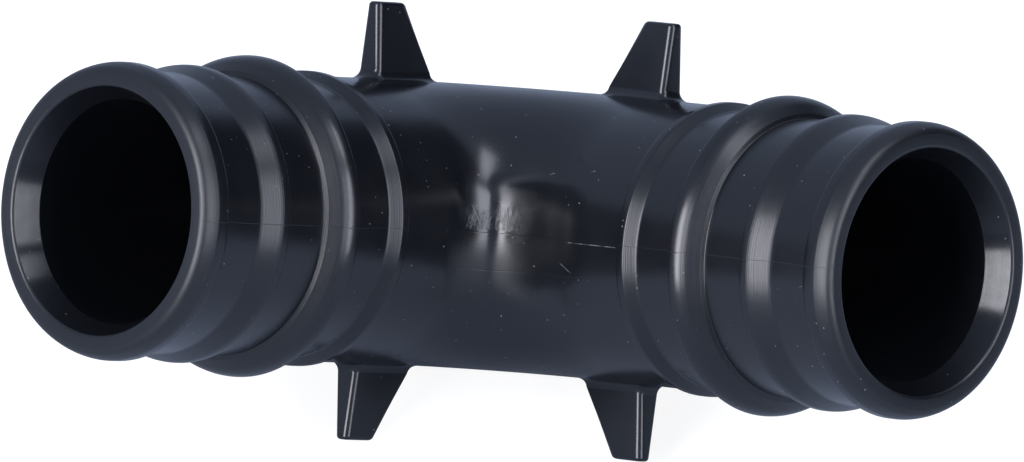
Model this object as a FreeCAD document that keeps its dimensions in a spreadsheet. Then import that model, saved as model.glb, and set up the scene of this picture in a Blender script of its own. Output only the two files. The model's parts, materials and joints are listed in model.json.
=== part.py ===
import FreeCAD, Part
import math
import os
import Sketcher

# Expansion elbow for plastic pipe: one moulding, in millimetres.
# It is drawn with the corner where the two pipe axes meet as the origin, one spigot along +X, the
# other along +Y and the mould's parting on the XY plane. Half of it is built and then mirrored. The
# last step turns it to how it lies loose on a table: on the heel of its bend and on two of its stop
# tabs, with both open ends raised.

# Driving sizes
SIZES = {
    # Pipe run
    "stop_place": 20.45,           # from the corner to the faces that stop the pipe and its ring
    "spigot_length": 34.35,        # from there to the open end
    "bend_radius": 20.0,           # of the bend's centre line
    "land_radius": 13.2,           # outside of the spigot between its rings
    "body_swell": 0.3,             # how far the bend's outside stands over the lands
    "wall": 2.4,                   # from the lands to the waterway
    # Mouth of the waterway
    "mouth_flare": 1.1,
    "mouth_depth": 2.7,
    # Rings: place is from the open end to the middle of the crest, height is over the lands
    "lip_place": 1.9,
    "lip_height": 0.8,
    "lip_crest": 2.0,
    "lip_back": 0.6,
    "outer_place": 10.7,
    "outer_height": 0.8,
    "outer_crest": 0.8,
    "outer_ramp": 2.45,
    "outer_back": 0.5,
    "middle_place": 18.55,
    "middle_height": 1.95,
    "middle_crest": 1.3,
    "middle_ramp": 1.6,
    "middle_back": 0.7,
    "inner_place": 26.6,
    "inner_height": 0.75,
    "inner_crest": 0.8,
    "inner_ramp": 1.3,
    "inner_back": 0.4,
    # Stop tabs
    "tab_height": 7.3,             # over the bend's outside
    "tab_tip_length": 3.8,
    "tab_tip_thickness": 1.6,
    "tab_lean": 3.9,               # how far the back runs out from tip to foot
    "tab_draft": 0.6,              # how much each broad side gains from tip to foot
    "tab_edge_round": 0.5,
}

# Sizes worked out from them
DERIVED = {
    "leg_length": "stop_place + spigot_length",
    "body_radius": "land_radius + body_swell",
    "bore_radius": "land_radius - wall",
    "mouth_radius": "bore_radius + mouth_flare",
    "lip_ramp": "lip_place - lip_crest / 2",
    "tab_tip": "body_radius + tab_height",
    "tab_root": "body_radius - wall / 2",
    "tab_share": "(tab_tip - tab_root) / tab_height",
    "tab_root_length": "tab_tip_length + tab_lean * tab_share",
    "tab_root_thickness": "tab_tip_thickness + 2 * tab_draft * tab_share",
}


def make_sheet(doc):
    """Writes the sizes into a sheet: the plain numbers first, then the cells worked out from them."""
    sheet = doc.addObject("Spreadsheet::Sheet", "Sizes")
    for row, (name, value) in enumerate({**SIZES, **DERIVED}.items(), start=1):
        sheet.set(f"A{row}", name)
        sheet.set(f"B{row}", f"{value}" if name in SIZES else f"={value}")
        sheet.setAlias(f"B{row}", name)
    doc.recompute()
    return sheet


def cell(words):
    """Turns a sum of cell names, such as 'wall / 2', into an expression that other objects can read."""
    return " ".join(f"Sizes.{word}" if word in SIZES or word in DERIVED else word for word in words.split())


def size(sheet, words):
    """Gives the value of a sum of cell names."""
    return float(sheet.evalExpression(cell(words)))


def origin_part(body, role):
    """Finds one of the body's own origin planes or axes."""
    return next(part for part in body.Origin.OriginFeatures if part.Role == role)


# Sketches
def new_sketch(body, name, plane, height="0"):
    """Adds a sketch at a height above one of the body's origin planes."""
    sketch = body.newObject("Sketcher::SketchObject", name)
    sketch.AttachmentSupport = [(origin_part(body, plane), "")]
    sketch.MapMode = "FlatFace"
    sketch.setExpression("AttachmentOffset.Base.z", cell(height))
    return sketch


def hold_point(sheet, sketch, shape, end, across, up):
    """Holds one point of a sketch shape at two distances from the sketch's origin."""
    origin_axes = {"DistanceX": -2, "DistanceY": -1}
    for kind, words in (("DistanceX", across), ("DistanceY", up)):
        value = size(sheet, words)
        if value == 0.0:
            sketch.addConstraint(Sketcher.Constraint("PointOnObject", shape, end, origin_axes[kind]))
            continue
        rule = sketch.addConstraint(Sketcher.Constraint(kind, -1, 1, shape, end, value))
        sketch.setExpression(f"Constraints[{rule}]", cell(words))


def draw_outline(sheet, sketch, corners):
    """Draws a closed outline of straight lines through corners given as pairs of sums of cell names."""
    points = [FreeCAD.Vector(size(sheet, x), size(sheet, y), 0) for x, y in corners]
    for i in range(len(points)):
        sketch.addGeometry(Part.LineSegment(points[i - 1], points[i]))
    for i in range(len(points)):
        sketch.addConstraint(Sketcher.Constraint("Coincident", i, 2, (i + 1) % len(points), 1))
        hold_point(sheet, sketch, i, 2, *corners[i])


def draw_circle(sheet, sketch, radius):
    """Draws a circle about the sketch's origin."""
    circle = Part.Circle(FreeCAD.Vector(), FreeCAD.Vector(0, 0, 1), size(sheet, radius))
    sketch.addGeometry(circle)
    sketch.addConstraint(Sketcher.Constraint("Coincident", 0, 3, -1, 1))
    rule = sketch.addConstraint(Sketcher.Constraint("Radius", 0, circle.Radius))
    sketch.setExpression(f"Constraints[{rule}]", cell(radius))


# Stop tab
def make_tabs(doc, sheet, body):
    """Pads the upper tab back from its drafted front, slopes its back, rounds it and copies it below."""
    front = new_sketch(body, "TabFront", "YZ_Plane", "stop_place")
    draw_outline(sheet, front, [
        ("0 - tab_root_thickness / 2", "tab_root"),
        ("tab_root_thickness / 2", "tab_root"),
        ("tab_tip_thickness / 2", "tab_tip"),
        ("0 - tab_tip_thickness / 2", "tab_tip"),
    ])
    tab = body.newObject("PartDesign::Pad", "Tab")
    tab.Profile = front
    tab.Reversed = True
    tab.setExpression("Length", cell("tab_root_length"))
    slope = new_sketch(body, "TabSlope", "XZ_Plane")
    draw_outline(sheet, slope, [
        ("stop_place - tab_root_length", "tab_root"),
        ("stop_place - tab_tip_length", "tab_tip"),
        ("stop_place - tab_root_length", "tab_tip"),
    ])
    doc.recompute()
    back = body.newObject("PartDesign::Pocket", "TabBack")
    back.Profile = slope
    back.SideType = "Symmetric"
    back.setExpression("Length", cell("2 * tab_root_thickness"))
    doc.recompute()
    rounded = body.newObject("PartDesign::Fillet", "TabEdges")
    edges = enumerate(back.Shape.Edges, start=1)
    half_height = size(sheet, "tab_height / 2")
    rounded.Base = (back, [f"Edge{i}" for i, edge in edges if edge.BoundBox.ZLength > half_height])
    rounded.setExpression("Radius", cell("tab_edge_round"))
    doc.recompute()
    pair = body.newObject("PartDesign::Mirrored", "TabPair")
    pair.TransformMode = "Whole shape"
    pair.MirrorPlane = (origin_part(body, "XY_Plane"), [""])
    body.Tip = pair
    doc.recompute()


# Bend
def draw_path(doc, sheet, body):
    """Draws half the elbow's centre line: the straight run, and the bend as far as its middle."""
    path = new_sketch(body, "CentreLine", "XY_Plane")
    turn = size(sheet, "bend_radius")
    circle = Part.Circle(FreeCAD.Vector(turn, turn, 0), FreeCAD.Vector(0, 0, 1), turn)
    start = FreeCAD.Vector(size(sheet, "leg_length"), 0, 0)
    path.addGeometry(Part.LineSegment(start, FreeCAD.Vector(turn, 0, 0)))
    path.addGeometry(Part.ArcOfCircle(circle, math.radians(225), math.radians(270)))
    path.addConstraint(Sketcher.Constraint("Coincident", 0, 2, 1, 2))
    hold_point(sheet, path, 0, 1, "leg_length", "0")
    hold_point(sheet, path, 0, 2, "bend_radius", "0")
    hold_point(sheet, path, 1, 3, "bend_radius", "bend_radius")
    rule = path.addConstraint(Sketcher.Constraint("Angle", 1, math.radians(45)))
    path.setExpression(f"Constraints[{rule}]", "45 deg")
    doc.recompute()
    return path


def sweep(doc, sheet, body, kind, name, radius, start, spine):
    """Sweeps a circle along the centre line, to add the bend or to cut the waterway."""
    profile = new_sketch(body, f"{name}Circle", "YZ_Plane", start)
    draw_circle(sheet, profile, radius)
    pipe = body.newObject(kind, name)
    pipe.Profile = profile
    pipe.Spine = spine
    doc.recompute()


# Spigot
def ring_outline(ring, foot_back="land_radius"):
    """Lists a ring's four corners from the foot of its ramp, nearest the open end, to its back."""
    crest_front = f"leg_length - {ring}_place + {ring}_crest / 2"
    crest_back = f"leg_length - {ring}_place - {ring}_crest / 2"
    return [
        (f"{crest_front} + {ring}_ramp", "land_radius"),
        (crest_front, f"land_radius + {ring}_height"),
        (crest_back, f"land_radius + {ring}_height"),
        (f"{crest_back} - {ring}_back", foot_back),
    ]


def revolve(doc, sheet, body, kind, name, corners):
    """Turns an outline once round the spigot's axis, to add the spigot or to cut its mouth."""
    outline = new_sketch(body, f"{name}Outline", "XY_Plane")
    draw_outline(sheet, outline, corners)
    turned = body.newObject(kind, name)
    turned.Profile = outline
    turned.ReferenceAxis = (origin_part(body, "X_Axis"), [""])
    turned.Angle = 360
    doc.recompute()


def make_spigot(doc, sheet, body):
    """Adds the spigot with its four rings and the straight run that joins it to the bend."""
    revolve(doc, sheet, body, "PartDesign::Revolution", "Spigot", [
        ("bend_radius", "0"),
        ("leg_length", "0"),
        *ring_outline("lip"),
        *ring_outline("outer"),
        *ring_outline("middle"),
        *ring_outline("inner", foot_back="body_radius"),
        ("bend_radius", "body_radius"),
    ])


def cut_mouth(doc, sheet, body):
    """Cuts the flare that leads the expander, and the water, into the waterway."""
    revolve(doc, sheet, body, "PartDesign::Groove", "Mouth", [
        ("leg_length - mouth_depth", "0"),
        ("leg_length", "0"),
        ("leg_length", "mouth_radius"),
        ("leg_length - mouth_depth", "bore_radius"),
    ])


# Second half
def mirror_half(doc, body):
    """Mirrors the finished half on the plane between the two spigots."""
    middle = body.newObject("PartDesign::Plane", "BetweenSpigots")
    middle.AttachmentSupport = [(origin_part(body, "YZ_Plane"), "")]
    middle.MapMode = "FlatFace"
    turn = FreeCAD.Rotation(FreeCAD.Vector(0, 1, 0), -45)
    middle.AttachmentOffset = FreeCAD.Placement(FreeCAD.Vector(), turn)
    doc.recompute()
    whole = body.newObject("PartDesign::Mirrored", "BothSpigots")
    whole.TransformMode = "Whole shape"
    whole.MirrorPlane = (middle, [""])
    body.Tip = whole
    doc.recompute()


# How it lies
def rest_lean(sheet):
    """Gives the lean, in degrees, that brings the heel and the two lower tabs onto one plane.

    They are compared in the plane between the spigots: the heel as the bend's round section there,
    and a tab as the point of its tip's rounded corner that reaches furthest towards the heel.
    """
    corner = size(sheet, "( stop_place - tab_tip_length - tab_tip_thickness / 2 ) / sqrt(2)")
    corner += size(sheet, "tab_edge_round") * (math.sqrt(2) - 1)
    heel = size(sheet, "bend_radius") * (math.sqrt(2) - 1)
    tip = size(sheet, "tab_tip")
    reach = math.hypot(tip, corner - heel)
    lean = math.acos(size(sheet, "body_radius") / reach) - math.atan2(corner - heel, tip)
    return math.degrees(lean)


def lay_down(sheet, body):
    """Turns the open ends forwards and up, and sets the elbow on the ground about its middle."""
    forwards = FreeCAD.Rotation(FreeCAD.Vector(0, 0, 1), -135)
    upwards = FreeCAD.Rotation(FreeCAD.Vector(1, 0, 0), -rest_lean(sheet))
    body.Placement = FreeCAD.Placement(FreeCAD.Vector(), upwards.multiply(forwards))
    box = body.Shape.optimalBoundingBox(False)
    body.Placement.Base = FreeCAD.Vector(-box.Center.x, -box.Center.y, -box.ZMin)


def check(doc, body):
    """Stops the build if any step failed or the elbow isn't one sound solid."""
    for item in doc.Objects:
        if "Invalid" in item.State or "Error" in item.State:
            raise RuntimeError(f"{item.Name} failed")
    shape = body.Shape
    if shape.isNull() or not shape.isValid() or len(shape.Solids) != 1:
        raise RuntimeError("the elbow isn't one sound solid")


def build():
    """Builds the elbow and writes it out."""
    doc = FreeCAD.newDocument("expansion_elbow")
    sheet = make_sheet(doc)
    body = doc.addObject("PartDesign::Body", "Elbow")
    body.Label = "elbow"
    make_tabs(doc, sheet, body)
    path = draw_path(doc, sheet, body)
    bend, whole = (path, ["Edge2"]), (path, ["Edge1", "Edge2"])
    sweep(doc, sheet, body, "PartDesign::AdditivePipe", "Bend", "body_radius", "bend_radius", bend)
    make_spigot(doc, sheet, body)
    sweep(doc, sheet, body, "PartDesign::SubtractivePipe", "Waterway", "bore_radius", "leg_length", whole)
    cut_mouth(doc, sheet, body)
    mirror_half(doc, body)
    lay_down(sheet, body)
    doc.recompute()
    check(doc, body)
    os.makedirs("parts", exist_ok=True)
    body.Shape.exportStep(f"parts/{body.Label}.step")
    print(f"{body.Label}: {body.Shape.Volume / 1000:.2f} cm3")


build()
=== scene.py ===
"""Looks of a black plastic expansion elbow, lying on its heel and two stop tabs on a pale floor."""

import json
import logging
import math
from dataclasses import dataclass
from enum import Enum

import bmesh
import bpy
from mathutils import Matrix, Vector


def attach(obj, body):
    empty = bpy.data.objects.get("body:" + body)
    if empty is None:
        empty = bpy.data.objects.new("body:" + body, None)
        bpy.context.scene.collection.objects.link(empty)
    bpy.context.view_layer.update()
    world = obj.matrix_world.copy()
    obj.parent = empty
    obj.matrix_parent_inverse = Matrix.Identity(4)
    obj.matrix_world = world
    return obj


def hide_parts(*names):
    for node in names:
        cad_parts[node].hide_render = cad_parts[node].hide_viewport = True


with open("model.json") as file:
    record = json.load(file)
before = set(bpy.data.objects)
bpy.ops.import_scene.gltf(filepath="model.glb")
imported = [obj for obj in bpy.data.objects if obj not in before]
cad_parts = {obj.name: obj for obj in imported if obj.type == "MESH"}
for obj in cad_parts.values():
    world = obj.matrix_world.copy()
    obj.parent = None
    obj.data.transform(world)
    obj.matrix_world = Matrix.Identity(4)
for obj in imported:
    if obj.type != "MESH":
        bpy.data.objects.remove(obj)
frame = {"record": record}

LOG = logging.getLogger("elbow")
MILLIMETRE = 0.001
# Points round each circle, and the difference in millimetres that still counts as level
AROUND = 216
LEVEL_WITHIN = 1e-4
SWAP_SPIGOTS = Matrix(((0, 1, 0, 0), (1, 0, 0, 0), (0, 0, 1, 0), (0, 0, 0, 1)))


# Sizes
class Side(Enum):
    """Which of the two stop tabs on a spigot: over or under the mould's parting plane."""

    OVER = 1
    UNDER = -1


class Finish(Enum):
    """How a stretch of the surface was cut in the mould, as the piece's material slot."""

    SATIN = 0
    TURNED = 1
    FLARE = 2
    WATERWAY = 3


@dataclass(frozen=True)
class Sizes:
    """The moulding's sizes in millimetres: those of the CAD source, with the real edges and mouth."""

    stop_place: float = 20.45
    spigot_length: float = 34.35
    bend_radius: float = 20.0
    land_radius: float = 13.2
    body_radius: float = 13.5
    bore_radius: float = 10.55
    mouth_depth: float = 2.5
    mouth_radius: float = 11.76
    mouth_round: float = 0.39
    flare_foot_round: float = 0.12
    nose_radius: float = 13.37
    nose_round: float = 0.8
    lip_middle: float = 1.9
    tab_tip: float = 20.8
    tab_tip_length: float = 3.8
    tab_tip_thickness: float = 1.6
    tab_lean: float = 3.9
    tab_draft: float = 0.6
    tab_edge_round: float = 0.6
    tab_tip_round: float = 0.35
    tab_foot_round: float = 1.0

    @property
    def leg_length(self) -> float:
        """Distance from the corner of the two pipe axes to an open end."""
        return self.stop_place + self.spigot_length


@dataclass(frozen=True)
class Corner:
    """A corner of the spigot's half section, in millimetres, with its rounding."""

    along: float
    radius: float
    rounding: float = 0.0


@dataclass(frozen=True)
class Ring:
    """One ring round a spigot, in millimetres; place is from the open end to the crest's middle.

    The shoulders lie on the ramp between its foot and the crest, as distances behind the foot and
    over the lands.
    """

    place: float
    height: float
    crest: float
    ramp: float
    back: float
    crest_round: float
    edge_round: float
    foot_round: float
    shoulders: tuple[tuple[float, float, float], ...] = ()

    def foot(self, sizes: Sizes) -> float:
        """Distance from the corner of the pipe axes to the foot of the ramp."""
        return sizes.leg_length - self.place + self.crest / 2 + self.ramp

    def corners(self, sizes: Sizes, back_radius: float) -> list[Corner]:
        """Lists the ring's corners from its ramp's foot to its back's foot.

        Args:
            sizes: The moulding's sizes.
            back_radius: Radius of the surface behind the ring.

        Returns:
            The corners, from the open end inwards.
        """
        foot, low = self.foot(sizes), sizes.land_radius
        front, top = foot - self.ramp, low + self.height
        rear = front - self.crest
        return [
            Corner(foot, low, self.foot_round),
            *(Corner(foot - behind, low + over, rounding) for behind, over, rounding in self.shoulders),
            Corner(front, top, self.crest_round),
            Corner(rear, top, self.edge_round),
            Corner(rear - self.back, back_radius, self.edge_round),
        ]


@dataclass(frozen=True)
class Lip:
    """The lip at the open end, in millimetres; its crest runs from front to rear behind the end face."""

    front: float
    rear: float
    height: float
    back: float
    front_round: float
    back_round: float

    def corners(self, sizes: Sizes) -> list[Corner]:
        """Lists the lip's corners from the front of its crest to its back's foot.

        Args:
            sizes: The moulding's sizes.

        Returns:
            The corners, from the open end inwards.
        """
        end, low = sizes.leg_length, sizes.land_radius
        return [
            Corner(end - self.front, low + self.height, self.front_round),
            Corner(end - self.rear, low + self.height, self.back_round),
            Corner(end - self.rear - self.back, low, self.back_round),
        ]


LIP = Lip(front=1.35, rear=2.9, height=0.8, back=0.6, front_round=3.0, back_round=0.4)
OUTER = Ring(10.7, 0.8, 0.8, 2.45, 0.5, crest_round=2.8, edge_round=0.22, foot_round=2.0)
MIDDLE = Ring(
    18.55, 1.95, 1.3, 1.55, 0.7, crest_round=2.3, edge_round=0.2, foot_round=0.12,
    shoulders=((0.15, 0.42, 0.15),),
)
INNER = Ring(26.6, 0.75, 0.8, 1.1, 0.4, crest_round=0.4, edge_round=0.2, foot_round=0.6)
RINGS = (OUTER, MIDDLE, INNER)


class MakersFrame:
    """The frame that the elbow is drawn in: corner at the origin, spigots along X and Y, in millimetres."""

    def __init__(self, record: dict, sizes: Sizes) -> None:
        """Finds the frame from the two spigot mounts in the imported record.

        Args:
            record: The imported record.
            sizes: The moulding's sizes.
        """
        mounts = {mount["name"]: mount for mount in record["mounts"]}
        first = Vector(mounts["spigot_a"]["axis"])
        second = Vector(mounts["spigot_b"]["axis"])
        place = sizes.leg_length - sizes.lip_middle
        self.corner: Vector = Vector(mounts["spigot_a"]["pos_m"]) - first * place * MILLIMETRE
        self.turn: Matrix = Matrix((first, second, first.cross(second))).transposed()
        scaled = self.turn.to_4x4() @ Matrix.Scale(MILLIMETRE, 4)
        self.to_row: Matrix = Matrix.Translation(self.corner) @ scaled

    def direction(self, across: float, towards: float, up: float) -> Vector:
        """Turns a direction seen from the open ends into the row's frame.

        Args:
            across: Share along the line from the first spigot's side to the second's.
            towards: Share along the line from the heel to between the open ends.
            up: Share along the normal of the plane through both spigots.

        Returns:
            The unit direction in the row's frame.
        """
        half = math.sqrt(0.5)
        drawn = Vector(((towards - across) * half, (towards + across) * half, up))
        return (self.turn @ drawn).normalized()

    def bearing(self, bearing: float, height: float) -> Vector:
        """Turns a bearing and a height, seen from the open ends, into a direction in the row's frame.

        Args:
            bearing: Degrees to the right of the line from the heel to between the open ends.
            height: Degrees over the plane through both spigots.

        Returns:
            The unit direction in the row's frame.
        """
        turn, lift = math.radians(bearing), math.radians(height)
        level = math.cos(lift)
        return self.direction(math.sin(turn) * level, math.cos(turn) * level, math.sin(lift))

    def facing(self, away: Vector) -> Matrix:
        """Turns something upright so that its front faces back along a direction.

        Args:
            away: The unit direction from what it faces to where it stands.

        Returns:
            The turn, as a 4 by 4 matrix.
        """
        side = self.direction(0, 0, 1).cross(away).normalized()
        return Matrix((side, away.cross(side), away)).transposed().to_4x4()


# The moulding
@dataclass
class Spigot:
    """One spigot with its mouth, lip and rings, and the straight run behind it.

    The margins, in millimetres, set where one finish gives way to the next: under the lands, and
    off the end face, the flare's foot and the lip's crest.
    """

    sizes: Sizes
    arc_steps: int = 6
    inside_margin: float = 0.1
    face_margin: float = 0.3
    flare_margin: float = 0.05
    lip_margin: float = 0.15

    def outline(self) -> list[Corner]:
        """Lists the half section's corners, from the waterway to the mouth and back over the rings."""
        z = self.sizes
        end = z.leg_length
        return [
            Corner(z.bend_radius, z.bore_radius),
            Corner(end - z.mouth_depth, z.bore_radius, z.flare_foot_round),
            Corner(end, z.mouth_radius, z.mouth_round),
            Corner(end, z.nose_radius, z.nose_round),
            *LIP.corners(z),
            *OUTER.corners(z, z.land_radius),
            *MIDDLE.corners(z, z.land_radius),
            *INNER.corners(z, z.body_radius),
            Corner(z.bend_radius, z.body_radius),
        ]

    def build(self, shell: bmesh.types.BMesh) -> None:
        """Adds the spigot along +X, as a rounded half section spun once round.

        Args:
            shell: The mesh that it is added to.
        """
        outline = self.outline()
        length = shell.verts.layers.float.new("profile")
        points = [shell.verts.new((corner.along, corner.radius, 0.0)) for corner in outline]
        for pair in zip(points, points[1:]):
            shell.edges.new(pair)
        start = points[0]
        for corner, point in zip(outline, points):
            if corner.rounding > 0.0:
                self.round_corner(shell, point, corner.rounding)
        self.measure(start, length)
        section = shell.edges[:] + shell.verts[:]
        bmesh.ops.spin(
            shell, geom=section, cent=(0, 0, 0), axis=(1, 0, 0), angle=math.tau,
            steps=AROUND, use_merge=True,
        )
        self.lay_out(shell, length)

    def round_corner(self, shell: bmesh.types.BMesh, point: bmesh.types.BMVert, rounding: float) -> None:
        """Rounds one corner of the half section.

        Args:
            shell: The mesh with the half section in it.
            point: The corner.
            rounding: Radius of the rounding.
        """
        before, after = (edge.other_vert(point).co for edge in point.link_edges)
        turn = (point.co - before).angle(after - point.co)
        bmesh.ops.bevel(
            shell, geom=[point], offset=rounding * math.tan(turn / 2), offset_type="OFFSET",
            segments=self.arc_steps, profile=0.5, affect="VERTICES", material=-1,
        )

    def measure(self, start: bmesh.types.BMVert, length: bmesh.types.BMLayerItem) -> None:
        """Notes how far each point lies along the half section, for the lines of the turned finish.

        Args:
            start: The half section's first point.
            length: Where the distances are kept.
        """
        point, before = start, None
        while True:
            onward = [edge for edge in point.link_edges if edge != before]
            if not onward:
                return
            before = onward[0]
            ahead = before.other_vert(point)
            ahead[length] = point[length] + before.calc_length()
            point = ahead

    def lay_out(self, shell: bmesh.types.BMesh, length: bmesh.types.BMLayerItem) -> None:
        """Gives each face its finish, and a map of length along the section and turns round the spigot.

        Args:
            shell: The mesh with the spigot in it.
            length: How far each point lies along the half section.
        """
        layout = shell.loops.layers.uv.new("turning")
        for face in shell.faces:
            middle = face.calc_center_median()
            face.material_index = self.finish_at(middle.x, math.hypot(middle.y, middle.z)).value
            around = math.atan2(middle.z, middle.y)
            for loop in face.loops:
                place = loop.vert.co
                swing = math.remainder(math.atan2(place.z, place.y) - around, math.tau)
                loop[layout].uv = (loop.vert[length], (around + swing) / math.tau)
        shell.verts.layers.float.remove(length)

    def finish_at(self, along: float, radius: float) -> Finish:
        """Tells how the mould was cut at a place on the spigot.

        Args:
            along: Distance from the corner of the pipe axes.
            radius: Distance from the spigot's axis.

        Returns:
            The finish.
        """
        z = self.sizes
        if radius < z.land_radius - self.inside_margin and along < z.leg_length - self.face_margin:
            flared = along > z.leg_length - z.mouth_depth + self.flare_margin
            return Finish.FLARE if flared else Finish.WATERWAY
        if along > z.leg_length - LIP.front - self.lip_margin:
            return Finish.TURNED
        ramps = ((ring.foot(z) - ring.ramp, ring.foot(z)) for ring in RINGS)
        return Finish.TURNED if any(low < along < high for low, high in ramps) else Finish.SATIN


@dataclass
class Bend:
    """The quarter bend between the spigots: its outside and the waterway in it."""

    sizes: Sizes
    steps: int = 64

    def build(self, shell: bmesh.types.BMesh) -> None:
        """Adds the bend from the end of the first spigot's straight run to the second's.

        Args:
            shell: The mesh that it is added to.
        """
        z = self.sizes
        stand = Matrix.Translation((z.bend_radius, 0, 0)) @ Matrix.Rotation(math.pi / 2, 4, "Y")
        for radius, finish in ((z.body_radius, Finish.SATIN), (z.bore_radius, Finish.WATERWAY)):
            known = set(shell.faces)
            circle = bmesh.ops.create_circle(shell, segments=AROUND, radius=radius, matrix=stand)
            points = circle["verts"]
            edges = list({edge for point in points for edge in point.link_edges})
            bmesh.ops.spin(
                shell, geom=points + edges, cent=(z.bend_radius, z.bend_radius, 0), axis=(0, 0, 1),
                angle=-math.pi / 2, steps=self.steps, use_merge=False,
            )
            for face in shell.faces:
                if face not in known:
                    face.material_index = finish.value


@dataclass(frozen=True)
class Footing:
    """A point of the tab's underside before its foot is rolled out."""

    place: Vector
    outward: Vector
    lean: float
    reach: float


@dataclass
class StopTab:
    """A drafted stop tab, with its foot run out into the bend's outside."""

    sizes: Sizes
    corner_steps: int = 6
    foot_steps: int = 8
    sunk: float = 0.03

    def build(self) -> bmesh.types.BMesh:
        """Makes the upper tab of the first spigot.

        Returns:
            A mesh of its own, in the maker's frame.
        """
        tab = bmesh.new()
        self.add_block(tab)
        self.run_out_foot(tab)
        bmesh.ops.recalc_face_normals(tab, faces=tab.faces)
        tip = max(tab.faces, key=lambda face: face.calc_center_median().z)
        if tip.normal.z < 0:
            bmesh.ops.reverse_faces(tab, faces=tab.faces)
        return tab

    def add_block(self, tab: bmesh.types.BMesh) -> None:
        """Adds the tapered block above the foot, with its edges rounded and its underside open.

        Args:
            tab: The mesh that it is added to.
        """
        z = self.sizes
        low = z.body_radius
        bmesh.ops.create_cube(tab, size=1.0)
        for point in tab.verts:
            tip = point.co.z > 0
            length = z.tab_tip_length + (0.0 if tip else z.tab_lean)
            width = z.tab_tip_thickness + (0.0 if tip else 2 * z.tab_draft)
            x = z.stop_place if point.co.x > 0 else z.stop_place - length
            point.co = (x, math.copysign(width / 2, point.co.y), z.tab_tip if tip else low)
        upright = [edge for edge in tab.edges if abs(edge.verts[0].co.z - edge.verts[1].co.z) > 1]
        self.round_edges(tab, upright, z.tab_edge_round)
        under = [face for face in tab.faces if all(abs(p.co.z - low) < LEVEL_WITHIN for p in face.verts)]
        bmesh.ops.delete(tab, geom=under, context="FACES_ONLY")
        rim = [
            edge for edge in tab.edges
            if all(abs(p.co.z - z.tab_tip) < LEVEL_WITHIN for p in edge.verts)
        ]
        self.round_edges(tab, rim, z.tab_tip_round)

    def round_edges(
        self, tab: bmesh.types.BMesh, edges: list[bmesh.types.BMEdge], rounding: float
    ) -> None:
        """Rounds some of the block's edges.

        Args:
            tab: The mesh with the block in it.
            edges: The edges.
            rounding: How far the rounding reaches along each face.
        """
        bmesh.ops.bevel(
            tab, geom=edges, offset=rounding, offset_type="OFFSET",
            segments=self.corner_steps, profile=0.5, affect="EDGES", material=-1,
        )

    def run_out_foot(self, tab: bmesh.types.BMesh) -> None:
        """Rolls the open underside outwards on to the bend's skin, as the moulding's foot rounding.

        Args:
            tab: The mesh with the block in it.
        """
        rim = [edge for edge in tab.edges if edge.is_boundary]
        feet = {point: self.footing(point) for point in {p for edge in rim for p in edge.verts}}
        for point, footing in feet.items():
            point.co = self.foot_point(footing, 0.0)
        for step in range(1, self.foot_steps + 1):
            made = bmesh.ops.extrude_edge_only(tab, edges=rim)["geom"]
            rim = [item for item in made if isinstance(item, bmesh.types.BMEdge)]
            fresh = {item for item in made if isinstance(item, bmesh.types.BMVert)}
            moved = {}
            for old, footing in feet.items():
                partners = (edge.other_vert(old) for edge in old.link_edges)
                moved[next(point for point in partners if point in fresh)] = footing
            feet = moved
            for point, footing in feet.items():
                point.co = self.foot_point(footing, step / self.foot_steps)

    def footing(self, point: bmesh.types.BMVert) -> Footing:
        """Finds which way a point of the open underside is rolled out, and how far.

        Args:
            point: The point.

        Returns:
            What its foot needs.
        """
        z = self.sizes
        middle = Vector((z.stop_place - (z.tab_tip_length + z.tab_lean) / 2, 0, 0))
        outward = Vector((0, 0, 0))
        for edge in (edge for edge in point.link_edges if edge.is_boundary):
            along = edge.verts[1].co - edge.verts[0].co
            normal = Vector((along.y, -along.x, 0)).normalized()
            outward += normal if normal.dot(edge.verts[0].co - middle) > 0 else -normal
        outward.normalize()
        side = next(edge for edge in point.link_edges if not edge.is_boundary)
        rise = side.other_vert(point).co - point.co
        lean = math.atan(-rise.dot(outward) / rise.z)
        reach = z.tab_foot_round * math.tan((math.pi / 2 - lean) / 2)
        return Footing(point.co.copy(), outward, lean, reach)

    def foot_point(self, footing: Footing, share: float) -> Vector:
        """Finds a point of the foot's rounding.

        Args:
            footing: What the foot needs there.
            share: 0 on the tab's side, 1 on the skin.

        Returns:
            The point, in the maker's frame.
        """
        radius = self.sizes.tab_foot_round
        swing = (math.pi / 2 - footing.lean) * (1 - share)
        place = footing.place + footing.outward * (footing.reach - radius * math.sin(swing))
        over = radius * (1 - math.cos(swing)) if share < 1.0 else -self.sunk
        return Vector((place.x, place.y, self.skin_height(place.x, place.y) + over))

    def skin_height(self, x: float, y: float) -> float:
        """Gives how high the outside of the straight run or of the bend stands over the parting plane.

        Args:
            x: Distance along the first spigot.
            y: Distance to its side, towards the second.

        Returns:
            The height in millimetres.
        """
        z = self.sizes
        aside = y
        if x < z.bend_radius:
            aside = math.hypot(x - z.bend_radius, y - z.bend_radius) - z.bend_radius
        return math.sqrt(z.body_radius ** 2 - aside ** 2)


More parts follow.
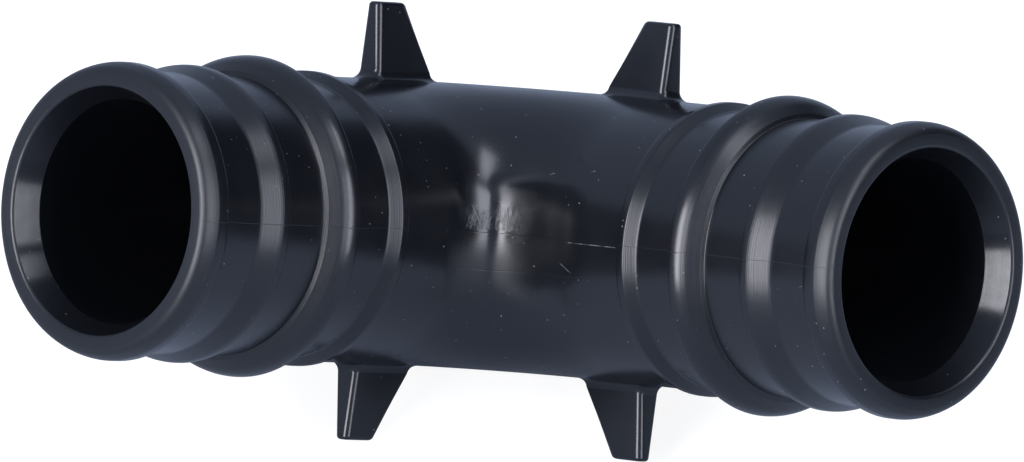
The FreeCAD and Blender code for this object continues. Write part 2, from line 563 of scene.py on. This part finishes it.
@dataclass
class Elbow:
    """The whole moulding as one piece."""

    sizes: Sizes
    makers: MakersFrame
    weld_within: float = 0.0005

    def build(self) -> bpy.types.Object:
        """Builds half the elbow, mirrors it, adds the tabs and puts it in the row's frame.

        Returns:
            The finished piece, without its materials.
        """
        shell = bmesh.new()
        Spigot(self.sizes).build(shell)
        self.add_second_spigot(shell)
        Bend(self.sizes).build(shell)
        bmesh.ops.remove_doubles(shell, verts=shell.verts, dist=self.weld_within)
        bmesh.ops.recalc_face_normals(shell, faces=shell.faces)
        LOG.info("shell closed: %s", all(edge.is_manifold for edge in shell.edges))
        self.add_tabs(shell)
        shell.transform(self.makers.to_row)
        mesh = bpy.data.meshes.new("elbow_moulding")
        shell.to_mesh(mesh)
        shell.free()
        mesh.shade_smooth()
        piece = bpy.data.objects.new("elbow_moulding", mesh)
        bpy.context.scene.collection.objects.link(piece)
        piece.modifiers.new("face_weighted_normals", "WEIGHTED_NORMAL").weight = 50
        return piece

    def add_second_spigot(self, shell: bmesh.types.BMesh) -> None:
        """Copies the first spigot on to the second's place.

        Args:
            shell: The mesh with the first spigot in it.
        """
        copies = bmesh.ops.duplicate(shell, geom=shell.verts[:] + shell.edges[:] + shell.faces[:])["geom"]
        points = [item for item in copies if isinstance(item, bmesh.types.BMVert)]
        bmesh.ops.transform(shell, matrix=SWAP_SPIGOTS, verts=points)

    def add_tabs(self, shell: bmesh.types.BMesh) -> None:
        """Adds the four stop tabs to the shell.

        Args:
            shell: The mesh that they are added to.
        """
        for side in Side:
            turnover = Matrix.Scale(side.value, 4, (0, 0, 1))
            for placed in (Matrix.Identity(4), SWAP_SPIGOTS):
                tab = StopTab(self.sizes).build()
                stand = placed @ turnover
                tab.transform(stand)
                if stand.determinant() < 0:
                    bmesh.ops.reverse_faces(tab, faces=tab.faces)
                scratch = bpy.data.meshes.new("tab")
                tab.to_mesh(scratch)
                tab.free()
                shell.from_mesh(scratch)
                bpy.data.meshes.remove(scratch)


# Nodes
Value = float | bpy.types.NodeSocket


@dataclass(frozen=True)
class Span:
    """A stretch of a number: it fades in from start to full, and out from held to end."""

    start: float
    full: float
    held: float
    end: float


class Tree:
    """A node tree, with short ways to add nodes to it and join them."""

    def __init__(self, tree: bpy.types.NodeTree) -> None:
        """Takes the node tree over.

        Args:
            tree: The node tree.
        """
        self.nodes = tree.nodes
        self.links = tree.links

    def put(
        self, kind: str, inputs: dict[str | int, object] | None = None, **settings: object
    ) -> bpy.types.Node:
        """Adds a node.

        Args:
            kind: The node's type name, without its leading ShaderNode.
            inputs: What goes into its inputs, by name or number: sockets are joined, the rest is set.
            **settings: Other settings of the node.

        Returns:
            The node.
        """
        node = self.nodes.new(f"ShaderNode{kind}")
        for name, setting in settings.items():
            setattr(node, name, setting)
        for name, source in (inputs or {}).items():
            if isinstance(source, bpy.types.NodeSocket):
                self.links.new(source, node.inputs[name])
            else:
                node.inputs[name].default_value = source
        return node

    def math(
        self, operation: str, first: Value, second: Value = 0.0, clamp: bool = False
    ) -> bpy.types.NodeSocket:
        """Works out a number from two others.

        Args:
            operation: What is done with them.
            first: The first number.
            second: The second number.
            clamp: Whether the result is kept between 0 and 1.

        Returns:
            The result's socket.
        """
        return self.put("Math", {0: first, 1: second}, operation=operation, use_clamp=clamp).outputs[0]

    def vector(self, operation: str, first: object, second: object = (0.0, 0.0, 0.0)) -> bpy.types.Node:
        """Works out a direction or a number from two directions.

        Args:
            operation: What is done with them.
            first: The first direction.
            second: The second direction.

        Returns:
            The node: its first output is a direction, its second a number.
        """
        return self.put("VectorMath", {0: first, 1: second}, operation=operation)

    def times(self, *factors: Value) -> bpy.types.NodeSocket:
        """Multiplies numbers with each other.

        Args:
            *factors: The numbers.

        Returns:
            The product's socket.
        """
        product = factors[0]
        for factor in factors[1:]:
            product = self.math("MULTIPLY", product, factor)
        return product

    def blend(
        self, value: Value, start: float, end: float, low: Value = 0.0, high: Value = 1.0
    ) -> bpy.types.NodeSocket:
        """Turns one range of a number smoothly into another.

        Args:
            value: The number.
            start: Where the low value is reached.
            end: Where the high value is reached.
            low: The low value.
            high: The high value.

        Returns:
            The result's socket.
        """
        inputs = {"Value": value, "From Min": start, "From Max": end, "To Min": low, "To Max": high}
        return self.put("MapRange", inputs, interpolation_type="SMOOTHSTEP").outputs["Result"]

    def within(self, value: Value, span: Span) -> bpy.types.NodeSocket:
        """Gives 1 where a number lies in a span and 0 outside, with the span's soft ends."""
        rise, fall = self.blend(value, span.start, span.full), self.blend(value, span.end, span.held)
        return self.times(rise, fall)


class Effect:
    """A node group that several places in the materials use."""

    def __init__(self, name: str, inputs: dict[str, str], outputs: dict[str, str]) -> None:
        """Makes the group with its sockets.

        Args:
            name: The group's name.
            inputs: The type of each input, by its name.
            outputs: The type of each output, by its name.
        """
        self.group = bpy.data.node_groups.new(name, "ShaderNodeTree")
        for in_out, sockets in (("INPUT", inputs), ("OUTPUT", outputs)):
            for label, kind in sockets.items():
                self.group.interface.new_socket(label, in_out=in_out, socket_type=f"NodeSocket{kind}")
        self.tree = Tree(self.group)
        self.given = self.group.nodes.new("NodeGroupInput").outputs
        self.result = self.group.nodes.new("NodeGroupOutput").inputs

    def use(self, tree: Tree, inputs: dict[str | int, object]) -> bpy.types.NodeOutputs:
        """Places the group in a material.

        Args:
            tree: The material's tree.
            inputs: What goes into the group.

        Returns:
            The group's outputs there.
        """
        return tree.put("Group", inputs, node_tree=self.group).outputs


def scratch_and_glint_effect() -> Effect:
    """Makes a thin straight mark between two points: a scratch, a cut line or a painted highlight.

    Returns:
        The effect: its mask is 1 on the mark.
    """
    made = Effect(
        "straight_mark",
        {"Place": "Vector", "Start": "Vector", "End": "Vector", "Width": "Float", "Broken": "Float"},
        {"Mask": "Float"},
    )
    tree, given = made.tree, made.given
    run = tree.vector("SUBTRACT", given["End"], given["Start"]).outputs[0]
    back = tree.vector("SUBTRACT", given["Place"], given["Start"]).outputs[0]
    dots = [tree.vector("DOT_PRODUCT", run, other).outputs[1] for other in (back, run)]
    share = tree.math("DIVIDE", *dots, clamp=True)
    nearest = tree.put("VectorMath", {0: run, "Scale": share}, operation="SCALE").outputs[0]
    off = tree.vector("DISTANCE", back, nearest).outputs[1]
    ratio = tree.math("DIVIDE", off, given["Width"])
    gaps = tree.put("TexNoise", {"Vector": given["Place"], "Scale": 3.0, "Detail": 2.0}).outputs["Fac"]
    kept = tree.blend(gaps, 0.4, 0.6, given["Broken"], 1.0)
    tree.links.new(tree.times(tree.blend(ratio, 1.0, 0.4), kept), made.result["Mask"])
    return made


def dust_effect() -> Effect:
    """Makes sparse specks of dust, each a fraction of a millimetre wide.

    Returns:
        The effect: its mask is 1 on a speck.
    """
    made = Effect("dust", {"Place": "Vector", "Scale": "Float", "Reach": "Float"}, {"Mask": "Float"})
    tree, given = made.tree, made.given
    cells = tree.put("TexVoronoi", {"Vector": given["Place"], "Scale": given["Scale"]})
    tone = tree.put("SeparateColor", {"Color": cells.outputs["Color"]}).outputs["Red"]
    reach = tree.times(given["Reach"], tree.math("POWER", tone, 2.0))
    ratio = tree.math("DIVIDE", cells.outputs["Distance"], reach)
    tree.links.new(tree.blend(ratio, 1.0, 0.5), made.result["Mask"])
    return made


def cloud_effect() -> Effect:
    """Makes soft clouding between two values, from uneven gloss and handling.

    Returns:
        The effect.
    """
    made = Effect(
        "clouding", {"Place": "Vector", "Scale": "Float", "Low": "Float", "High": "Float"},
        {"Value": "Float"},
    )
    tree, given = made.tree, made.given
    noise = tree.put("TexNoise", {"Vector": given["Place"], "Scale": given["Scale"], "Detail": 5.0})
    inputs = {
        "Value": noise.outputs["Fac"], "From Min": 0.3, "From Max": 0.7,
        "To Min": given["Low"], "To Max": given["High"],
    }
    mapped = tree.put("MapRange", inputs)
    tree.links.new(mapped.outputs["Result"], made.result["Value"])
    return made


def parting_effect() -> Effect:
    """Makes the fine line that the mould's parting leaves.

    Returns:
        The effect: its mask is 1 on the line, at a height over the plane through both spigots.
    """
    made = Effect("parting_line", {"Place": "Vector", "Height": "Float", "Width": "Float"}, {"Mask": "Float"})
    tree, given = made.tree, made.given
    wander = tree.put("TexNoise", {"Vector": given["Place"], "Scale": 0.25, "Detail": 1.0})
    shift = tree.blend(wander.outputs["Fac"], 0.0, 1.0, -0.08, 0.08)
    up = tree.put("SeparateXYZ", {"Vector": given["Place"]}).outputs["Z"]
    level = tree.math("SUBTRACT", tree.math("ADD", up, shift), given["Height"])
    ratio = tree.math("DIVIDE", tree.math("ABSOLUTE", level), given["Width"])
    tree.links.new(tree.blend(ratio, 1.0, 0.0), made.result["Mask"])
    return made


@dataclass
class Effects:
    """The node groups that the materials share, each made once."""

    def __post_init__(self) -> None:
        """Makes the groups."""
        # Draws the scratches, the cut lines and the painted highlights
        self.scratch = scratch_and_glint_effect()
        self.dust = dust_effect()
        self.cloud = cloud_effect()
        self.parting = parting_effect()


@dataclass(frozen=True)
class Mark:
    """A straight mark on the surface, between two points in the maker's frame."""

    start: tuple[float, float, float]
    end: tuple[float, float, float]
    width: float

    def draw(
        self, tree: Tree, effects: Effects, place: bpy.types.NodeSocket, broken: float
    ) -> bpy.types.NodeSocket:
        """Draws the mark in a material.

        Args:
            tree: The material's tree.
            effects: The shared node groups.
            place: The maker's coordinates.
            broken: How much is left of it in its gaps.

        Returns:
            A mask, 1 on the mark.
        """
        inputs = {
            "Place": place, "Start": self.start, "End": self.end, "Width": self.width, "Broken": broken,
        }
        return effects.scratch.use(tree, inputs)["Mask"]


# Pale scratches; the last two are painted highlights, pale dashes on the lower witness line
PALE_SCRATCHES_AND_GLINTS = (
    Mark((13.5, 21.1, -0.26), (13.5, 27.2, -0.24), 0.045),
    Mark((13.3, 20.1, -2.3), (13.13, 21.4, -3.14), 0.035),
    Mark((11.6, 18.9, -7.1), (11.2, 19.7, -7.6), 0.05),
    Mark((10.9, 17.9, -8.1), (10.3, 18.7, -8.8), 0.045),
    Mark((12.6, 17.3, 5.9), (12.4, 17.7, 6.1), 0.05),
    Mark((11.9, 21.6, 6.45), (11.75, 22.3, 6.65), 0.035),
    Mark((15.6, 9.1, -10.6), (15.3, 9.6, -10.5), 0.05),
    Mark((15.6, 11.7, 8.1), (15.4, 12.5, 7.9), 0.04),
    Mark((15.36, 13.0, 7.1), (15.3, 13.1, 6.5), 0.045),
    # Painted highlights where the corner's two highlight streaks cross the lower witness line
    Mark((18.61, 13.07, -3.6), (17.76, 13.3, -3.55), 0.06),
    Mark((15.97, 14.2, -3.53), (15.38, 14.67, -3.5), 0.07),
)
DARK_MARKS = (
    Mark((10.83, 16.77, 8.73), (11.2, 19.2, 7.75), 0.09),
    Mark((11.2, 19.2, 7.75), (11.47, 20.42, 7.1), 0.13),
)


@dataclass(frozen=True)
class Plastic:
    """Black plastic as it comes out of the mould."""

    name: str
    roughness: float
    swing: float
    anisotropy: float = 0.0
    color: tuple[float, float, float, float] = (0.004, 0.0045, 0.006, 1.0)
    # Colour of dust and pale scratches, and of the painted highlights on the lower witness line
    dust_and_glint_color: tuple[float, float, float, float] = (0.16, 0.17, 0.18, 1.0)

    def start(self, makers: MakersFrame) -> tuple[bpy.types.Material, Tree, bpy.types.NodeSocket]:
        """Makes the material with its constant values and the maker's coordinates in millimetres.

        Args:
            makers: Gives the maker's frame.

        Returns:
            The material, its tree and the coordinates' socket.
        """
        material = bpy.data.materials.new(self.name)
        material.use_nodes = True
        tree = Tree(material.node_tree)
        tree.nodes["Principled BSDF"].inputs["Anisotropic"].default_value = self.anisotropy
        back = makers.to_row.inverted()
        inputs = {
            "Vector": tree.put("TexCoord").outputs["Object"],
            "Location": back.to_translation(),
            "Rotation": makers.turn.transposed().to_euler(),
            "Scale": (1 / MILLIMETRE,) * 3,
        }
        return material, tree, tree.put("Mapping", inputs).outputs["Vector"]

    def clouded(
        self, tree: Tree, effects: Effects, place: bpy.types.NodeSocket, scale: float
    ) -> bpy.types.NodeSocket:
        """Gives the roughness, clouded from its swing under it to its swing over it."""
        ends = {"Low": self.roughness - self.swing, "High": self.roughness + self.swing}
        return effects.cloud.use(tree, {"Place": place, "Scale": scale, **ends})["Value"]

    def finish(
        self, tree: Tree, pale: bpy.types.NodeSocket, rough: bpy.types.NodeSocket,
        normal: bpy.types.NodeSocket,
    ) -> None:
        """Joins colour, roughness and normal to the shader.

        Args:
            tree: The material's tree.
            pale: Where dust and pale scratches lie, and the two painted highlights on the lower witness line.
            rough: The roughness.
            normal: The normal.
        """
        shader = tree.nodes["Principled BSDF"].inputs
        # The pale colour carries the dust, the pale scratches and the painted highlights
        shade = tree.put("Mix", {0: pale, 6: self.color, 7: self.dust_and_glint_color}, data_type="RGBA")
        tree.links.new(shade.outputs[2], shader["Base Color"])
        tree.links.new(rough, shader["Roughness"])
        tree.links.new(normal, shader["Normal"])


@dataclass(frozen=True)
class SatinPlastic(Plastic):
    """The polished outside, with its parting line, scratches, dust, two painted highlights on the lower
    witness line and the insert's print in the corner.

    The spans are millimetres: across from the middle, up from the parting plane, and towards the
    space between the open ends, as the sum of the distances along both spigots. The print itself
    has a torn and a crinkled stretch, and the skin over it sinks in slightly.
    """

    print_across: Span = Span(-6.2, -5.4, 6.8, 7.6)
    print_up: Span = Span(-7.5, -4.0, 4.6, 6.0)
    print_towards: Span = Span(20.0, 22.0, 38.0, 40.0)
    torn_up: Span = Span(1.9, 3.6, 4.0, 4.8)
    crinkle_across: Span = Span(-5.2, -3.6, 0.6, 2.2)
    crinkle_up: Span = Span(0.1, 0.5, 1.4, 3.4)
    over_across: Span = Span(-4.0, -2.0, 3.0, 6.0)
    over_up: Span = Span(3.3, 4.7, 9.0, 11.0)
    over_slope: float = 0.1
    polished_gain: float = -0.06
    smoky_gain: float = 0.2
    torn_gain: float = 0.14
    pale_gain: float = 0.3
    line_depth: float = 0.45
    crinkle_height: float = 2.4
    # Slope that the insert's print adds, by the distance across from the middle in millimetres
    print_slopes: tuple[tuple[float, float], ...] = (
        (-5.7, 0.0), (-4.6, 0.22), (-4.2, 0.147), (-2.8, 0.06), (-1.9, 0.19), (-1.2, 0.42),
        (-0.7, 0.5), (0.0, 0.55), (1.0, 0.66), (2.2, 0.75), (3.6, 0.53), (5.2, 0.3), (6.6, 0.09), (7.4, 0.0),
    )
    slope_limit: float = 0.8
    span_limit: float = 8.0

    def build(self, makers: MakersFrame, effects: Effects) -> bpy.types.Material:
        """Makes the material.

        Args:
            makers: Gives the maker's frame.
            effects: The shared node groups.

        Returns:
            The material.
        """
        material, tree, place = self.start(makers)
        split = tree.put("SeparateXYZ", {"Vector": place}).outputs
        up = split["Z"]
        across = tree.times(tree.math("SUBTRACT", split["Y"], split["X"]), math.sqrt(0.5))
        corner = self.corner_mask(tree, split, across)
        tilted = self.tilt(tree, makers, across, up, corner)
        pale, lines = self.marks(tree, effects, place, corner)
        smoky = tree.blend(up, 0.5, -3.0, self.polished_gain, self.smoky_gain)
        torn = tree.times(tree.within(up, self.torn_up), tree.blend(across, -2.4, -1.6), self.torn_gain)
        dull = tree.times(tree.math("ADD", smoky, torn), tree.blend(across, 3.4, 0.6), corner)
        rough = tree.math("ADD", self.clouded(tree, effects, place, 0.3), dull)
        rough = tree.math("ADD", rough, tree.times(pale, self.pale_gain), clamp=True)
        crinkle = self.crinkle(tree, corner, across, up)
        height = tree.math("SUBTRACT", crinkle, tree.times(lines, self.line_depth))
        bump = tree.put("Bump", {"Height": height, "Normal": tilted, "Distance": 0.03 * MILLIMETRE})
        self.finish(tree, pale, rough, bump.outputs["Normal"])
        return material

    def corner_mask(
        self, tree: Tree, split: bpy.types.NodeOutputs, across: bpy.types.NodeSocket
    ) -> bpy.types.NodeSocket:
        """Marks the inner corner of the bend, where the mould's insert left its print.

        Args:
            tree: The material's tree.
            split: The maker's coordinates.
            across: Distance across from the middle.

        Returns:
            A mask, 1 in the corner.
        """
        towards = tree.math("ADD", split["X"], split["Y"])
        return tree.times(
            tree.within(towards, self.print_towards), tree.within(split["Z"], self.print_up),
            tree.within(across, self.print_across),
        )

    def tilt(
        self, tree: Tree, makers: MakersFrame, across: bpy.types.NodeSocket, up: bpy.types.NodeSocket,
        mask: bpy.types.NodeSocket,
    ) -> bpy.types.NodeSocket:
        """Tilts the normals in the inner corner as the insert's slightly hollow print does.

        Args:
            tree: The material's tree.
            makers: Gives the maker's frame.
            across: Distance across from the middle.
            up: Height over the parting plane.
            mask: Where the print is.

        Returns:
            The tilted normal.
        """
        slope = tree.times(self.print_slope(tree, across), mask)
        normal = tree.put("NewGeometry").outputs["Normal"]
        facing = tree.vector("DOT_PRODUCT", normal, makers.direction(0, 1, 0)).outputs[1]
        over = tree.within(up, self.over_up), tree.within(across, self.over_across)
        amount = tree.times(tree.math("ADD", slope, tree.times(*over, self.over_slope)), facing)
        push = tree.put("VectorMath", {0: makers.direction(-1, 0, 0), "Scale": amount}, operation="SCALE")
        return tree.vector("NORMALIZE", tree.vector("ADD", normal, push.outputs[0]).outputs[0]).outputs[0]

    def print_slope(self, tree: Tree, across: bpy.types.NodeSocket) -> bpy.types.NodeSocket:
        """Gives the slope that the insert's print adds along the line across.

        Args:
            tree: The material's tree.
            across: Distance across from the middle.

        Returns:
            The slope.
        """
        reach = self.span_limit
        span = tree.put("MapRange", {"Value": across, "From Min": -reach, "From Max": reach})
        curve = tree.put("FloatCurve", {"Value": span.outputs["Result"]})
        line = curve.mapping.curves[0]
        line.points[0].location = (0.0, 0.0)
        line.points[-1].location = (1.0, 0.0)
        for place, slope in self.print_slopes:
            line.points.new((place + reach) / (2 * reach), slope / self.slope_limit)
        curve.mapping.update()
        return tree.times(curve.outputs["Value"], self.slope_limit)

    def marks(
        self, tree: Tree, effects: Effects, place: bpy.types.NodeSocket, corner: bpy.types.NodeSocket
    ) -> tuple[bpy.types.NodeSocket, bpy.types.NodeSocket]:
        """Places the dust, the scratches, the two painted highlights on the lower witness line and the
        parting lines.

        Args:
            tree: The material's tree.
            effects: The shared node groups.
            place: The maker's coordinates.
            corner: Where the insert's print is.

        Returns:
            Where the surface is pale, and how deep the lines are cut.
        """
        pale = effects.dust.use(tree, {"Place": place, "Scale": 1.3, "Reach": 0.12})["Mask"]
        # Pale scratches, and two painted highlights on the lower witness line
        for mark in PALE_SCRATCHES_AND_GLINTS:
            drawn = tree.times(mark.draw(tree, effects, place, broken=0.15), 0.8)
            pale = tree.math("MAXIMUM", pale, drawn)
        lines = effects.parting.use(tree, {"Place": place, "Height": 0.0, "Width": 0.07})["Mask"]
        second = effects.parting.use(tree, {"Place": place, "Height": -3.5, "Width": 0.06})["Mask"]
        lines = tree.math("MAXIMUM", lines, tree.times(second, corner))
        for mark in DARK_MARKS:
            cut = tree.times(mark.draw(tree, effects, place, broken=0.7), 3.0)
            lines = tree.math("MAXIMUM", lines, cut)
        return pale, lines

    def crinkle(
        self, tree: Tree, corner: bpy.types.NodeSocket, across: bpy.types.NodeSocket,
        up: bpy.types.NodeSocket,
    ) -> bpy.types.NodeSocket:
        """Crinkles the upper part of the insert's print, where the moulding was torn free.

        Args:
            tree: The material's tree.
            corner: Where the insert's print is.
            across: Distance across from the middle.
            up: Height over the parting plane.

        Returns:
            The crinkles' height.
        """
        laid = tree.put("CombineXYZ", {"X": tree.times(across, 1.6), "Y": up}).outputs[0]
        inputs = {"Vector": laid, "Scale": 0.9, "Detail": 5.0, "Roughness": 0.65, "Distortion": 0.9}
        noise = tree.put("TexNoise", inputs).outputs["Fac"]
        window = tree.within(up, self.crinkle_up), tree.within(across, self.crinkle_across), corner
        return tree.times(noise, *window, self.crinkle_height)


@dataclass(frozen=True)
class TurnedPlastic(Plastic):
    """The flares, the lips and the rings' ramps, printed from turned steel with its fine lines."""

    grooves: float = 0.1
    # Stretch of the lip's front, in millimetres along the half section from where the waterway starts
    lip_front: Span = Span(36.0, 36.6, 40.0, 41.0)
    lip_gain: float = 0.08
    groove_gain: float = 0.04
    line_depth: float = 0.4

    def build(self, makers: MakersFrame, effects: Effects) -> bpy.types.Material:
        """Makes the material.

        Args:
            makers: Gives the maker's frame.
            effects: The shared node groups.

        Returns:
            The material.
        """
        material, tree, place = self.start(makers)
        laid = tree.put("UVMap", uv_map="turning").outputs["UV"]
        along = tree.put("SeparateXYZ", {"Vector": laid}).outputs["X"]
        inputs = {"W": along, "Scale": 9.0, "Detail": 3.0}
        fine = tree.put("TexNoise", inputs, noise_dimensions="1D").outputs["Fac"]
        dust = effects.dust.use(tree, {"Place": place, "Scale": 1.1, "Reach": 0.1})["Mask"]
        line = effects.parting.use(tree, {"Place": place, "Height": 0.0, "Width": 0.08})["Mask"]
        outside = tree.blend(along, self.lip_front.start, self.lip_front.full)
        lip = tree.times(tree.within(along, self.lip_front), self.lip_gain)
        grooved = tree.blend(fine, 0.3, 0.7, -self.groove_gain, self.groove_gain)
        rough = tree.math("ADD", self.clouded(tree, effects, place, 1.2), lip)
        rough = tree.math("ADD", rough, grooved, clamp=True)
        cut = tree.times(line, outside, self.line_depth)
        height = tree.math("SUBTRACT", tree.times(fine, self.grooves), cut)
        bump = tree.put("Bump", {"Height": height, "Distance": 0.03 * MILLIMETRE})
        self.finish(tree, dust, rough, bump.outputs["Normal"])
        tangent = tree.put("Tangent", direction_type="UV_MAP", uv_map="turning").outputs["Tangent"]
        tree.links.new(tangent, tree.nodes["Principled BSDF"].inputs["Tangent"])
        return material


@dataclass(frozen=True)
class WaterwayPlastic(Plastic):
    """The inside, printed from the drawn cores: duller and free of dust."""

    def build(self, makers: MakersFrame, effects: Effects) -> bpy.types.Material:
        """Makes the material.

        Args:
            makers: Gives the maker's frame.
            effects: The shared node groups.

        Returns:
            The material.
        """
        material, tree, place = self.start(makers)
        cloud = self.clouded(tree, effects, place, 0.5)
        specks = effects.dust.use(tree, {"Place": place, "Scale": 0.5, "Reach": 0.03})["Mask"]
        grain = tree.put("TexNoise", {"Vector": place, "Scale": 4.0, "Detail": 3.0}).outputs["Fac"]
        bump = tree.put("Bump", {"Height": grain, "Distance": 0.01 * MILLIMETRE})
        self.finish(tree, specks, cloud, bump.outputs["Normal"])
        return material


# Studio
WHITE = (1.0, 1.0, 1.0, 1.0)


@dataclass(frozen=True)
class SoftLamp:
    """A rectangular soft light, by the bearings and heights it spans from the open ends."""

    name: str
    bearings: tuple[float, float]
    heights: tuple[float, float]
    brightness: float
    color: tuple[float, float, float]
    distance: float = 2.5

    def build(self, makers: MakersFrame, target: Vector) -> None:
        """Adds the lamp, facing the elbow.

        Args:
            makers: Gives the directions of the elbow's own frame.
            target: What the lamp faces.
        """
        height = sum(self.heights) / 2
        wide = math.radians(self.bearings[1] - self.bearings[0]) * math.cos(math.radians(height))
        tall = math.radians(self.heights[1] - self.heights[0])
        away = makers.bearing(sum(self.bearings) / 2, height)
        lamp = bpy.data.lights.new(self.name, "AREA")
        lamp.shape = "RECTANGLE"
        lamp.size = 2 * self.distance * math.tan(wide / 2)
        lamp.size_y = 2 * self.distance * math.tan(tall / 2)
        lamp.energy = self.brightness * math.pi * lamp.size * lamp.size_y
        lamp.color = self.color
        holder = bpy.data.objects.new(self.name, lamp)
        bpy.context.scene.collection.objects.link(holder)
        holder.matrix_world = Matrix.Translation(target + away * self.distance) @ makers.facing(away)
        holder.visible_camera = False


LAMPS = (
    SoftLamp("left_lamp", (-55.0, -28.0), (-22.0, 28.0), 12.0, (1.0, 1.0, 1.08)),
    SoftLamp("right_lamp", (29.5, 57.0), (-17.0, 33.0), 5.8, (0.97, 1.0, 1.12)),
    SoftLamp("right_high_lamp", (28.0, 62.0), (42.0, 63.0), 5.5, (0.97, 1.0, 1.12)),
)


@dataclass(frozen=True)
class Viewpoint:
    """The photograph's angle: bearing, height and roll in degrees, distance in metres.

    The target is in the maker's frame.
    """

    bearing: float = -1.381
    height: float = 2.063
    roll: float = 4.312
    distance: float = 1.9066
    lens: float = 703.1
    sensor_width: float = 36.0
    sight: float = 20.0
    target: tuple[float, float, float] = (-0.461, 0.418, -0.436)

    def build(self, makers: MakersFrame) -> None:
        """Adds the camera.

        Args:
            makers: Gives the maker's frame.
        """
        away = makers.bearing(self.bearing, self.height)
        camera = bpy.data.cameras.new("camera")
        camera.sensor_width = self.sensor_width
        camera.lens = self.lens
        camera.clip_end = self.sight
        holder = bpy.data.objects.new("camera", camera)
        bpy.context.scene.collection.objects.link(holder)
        place = makers.to_row @ Vector(self.target) + away * self.distance
        level = Matrix.Translation(place) @ makers.facing(away)
        holder.matrix_world = level @ Matrix.Rotation(math.radians(self.roll), 4, "Z")
        bpy.context.scene.camera = holder


@dataclass
class Studio:
    """The pale floor, the dark card and the soft lights, with the camera."""

    makers: MakersFrame
    lit_place: tuple[float, float, float] = (15.0, 15.0, 0.0)
    card_bearing: float = 101.0
    card_height: float = 19.0
    card_size: tuple[float, float] = (1.4, 1.3)
    card_tone: tuple[float, float, float, float] = (0.008, 0.008, 0.01, 1.0)
    floor_size: float = 6.0
    floor_glow: float = 0.88
    floor_shade: tuple[float, float, float, float] = (0.2, 0.2, 0.2, 1.0)
    floor_tone: tuple[float, float, float, float] = (0.255, 0.295, 0.36, 1.0)
    sky: tuple[float, float, float, float] = (0.36, 0.44, 0.61, 1.0)

    def build(self) -> None:
        """Adds the floor, the dark card, the world, the lamps and the camera."""
        target = self.makers.to_row @ Vector(self.lit_place)
        self.add_floor()
        self.add_card(target)
        self.add_world()
        for lamp in LAMPS:
            lamp.build(self.makers, target)
        Viewpoint().build(self.makers)

    def add_sheet(self, name: str, stand: Matrix) -> tuple[bpy.types.Object, Tree]:
        """Adds a flat stage object with a plain material.

        Args:
            name: Its name.
            stand: Its place, turn and size.

        Returns:
            The object and its material's tree.
        """
        grid = bmesh.new()
        bmesh.ops.create_grid(grid, x_segments=1, y_segments=1, size=0.5, matrix=stand)
        mesh = bpy.data.meshes.new(name)
        grid.to_mesh(mesh)
        grid.free()
        sheet = bpy.data.objects.new(name, mesh)
        bpy.context.scene.collection.objects.link(sheet)
        material = bpy.data.materials.new(name)
        material.use_nodes = True
        mesh.materials.append(material)
        return sheet, Tree(material.node_tree)

    def add_floor(self) -> None:
        """Adds the floor: white to the camera with the elbow's shadow on it, paler grey to the light."""
        _, tree = self.add_sheet("floor", Matrix.Diagonal((self.floor_size, self.floor_size, 1, 1)))
        plain = tree.nodes["Principled BSDF"]
        plain.inputs["Base Color"].default_value = self.floor_tone
        plain.inputs["Roughness"].default_value = 0.9
        shaded = tree.put("BsdfDiffuse", {"Color": self.floor_shade}).outputs[0]
        white = tree.put("Emission", {"Color": WHITE, "Strength": self.floor_glow}).outputs[0]
        seen = tree.put("AddShader", {0: shaded, 1: white}).outputs[0]
        camera_ray = tree.put("LightPath").outputs["Is Camera Ray"]
        surface = tree.put("MixShader", {0: camera_ray, 1: plain.outputs[0], 2: seen}).outputs[0]
        tree.links.new(surface, tree.nodes["Material Output"].inputs["Surface"])

    def add_card(self, target: Vector) -> None:
        """Adds the dark card on the right, which the first spigot's near side mirrors.

        Args:
            target: What it stands beside.
        """
        away = self.makers.bearing(self.card_bearing, self.card_height)
        stand = Matrix.Translation(target + away) @ self.makers.facing(away)
        card, tree = self.add_sheet("dark_card", stand @ Matrix.Diagonal((*self.card_size, 1, 1)))
        shader = tree.nodes["Principled BSDF"].inputs
        shader["Base Color"].default_value = self.card_tone
        shader["Roughness"].default_value = 1.0
        shader["Specular IOR Level"].default_value = 0.0
        card.visible_camera = False

    def add_world(self) -> None:
        """Lights the surroundings dimly, and shows the camera white."""
        world = bpy.data.worlds.new("studio")
        world.use_nodes = True
        tree = Tree(world.node_tree)
        plain = tree.nodes["Background"]
        plain.inputs["Color"].default_value = self.sky
        white = tree.put("Background", {"Color": WHITE, "Strength": 1.0}).outputs[0]
        camera_ray = tree.put("LightPath").outputs["Is Camera Ray"]
        surface = tree.put("MixShader", {0: camera_ray, 1: plain.outputs[0], 2: white}).outputs[0]
        tree.links.new(surface, tree.nodes["World Output"].inputs["Surface"])
        bpy.context.scene.world = world


def main() -> None:
    """Builds the elbow and its studio."""
    logging.basicConfig(level=logging.INFO, format="%(name)s: %(message)s")
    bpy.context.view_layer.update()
    sizes = Sizes()
    makers = MakersFrame(frame["record"], sizes)
    effects = Effects()
    piece = Elbow(sizes, makers).build()
    satin = SatinPlastic("satin_black_plastic", roughness=0.25, swing=0.025)
    turned = TurnedPlastic("turned_black_plastic", roughness=0.33, swing=0.02, anisotropy=0.4, grooves=0.4)
    flare = TurnedPlastic("flare_black_plastic", roughness=0.22, swing=0.02, anisotropy=0.6)
    waterway = WaterwayPlastic("waterway_black_plastic", roughness=0.3, swing=0.03)
    for finish in (satin, turned, flare, waterway):
        piece.data.materials.append(finish.build(makers, effects))
    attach(piece, "root")
    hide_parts("elbow")
    LOG.info("%s: %d faces", piece.name, len(piece.data.polygons))
    Studio(makers).build()
    bpy.context.scene.view_settings.view_transform = "Standard"


if __name__ == "__main__":
    main()
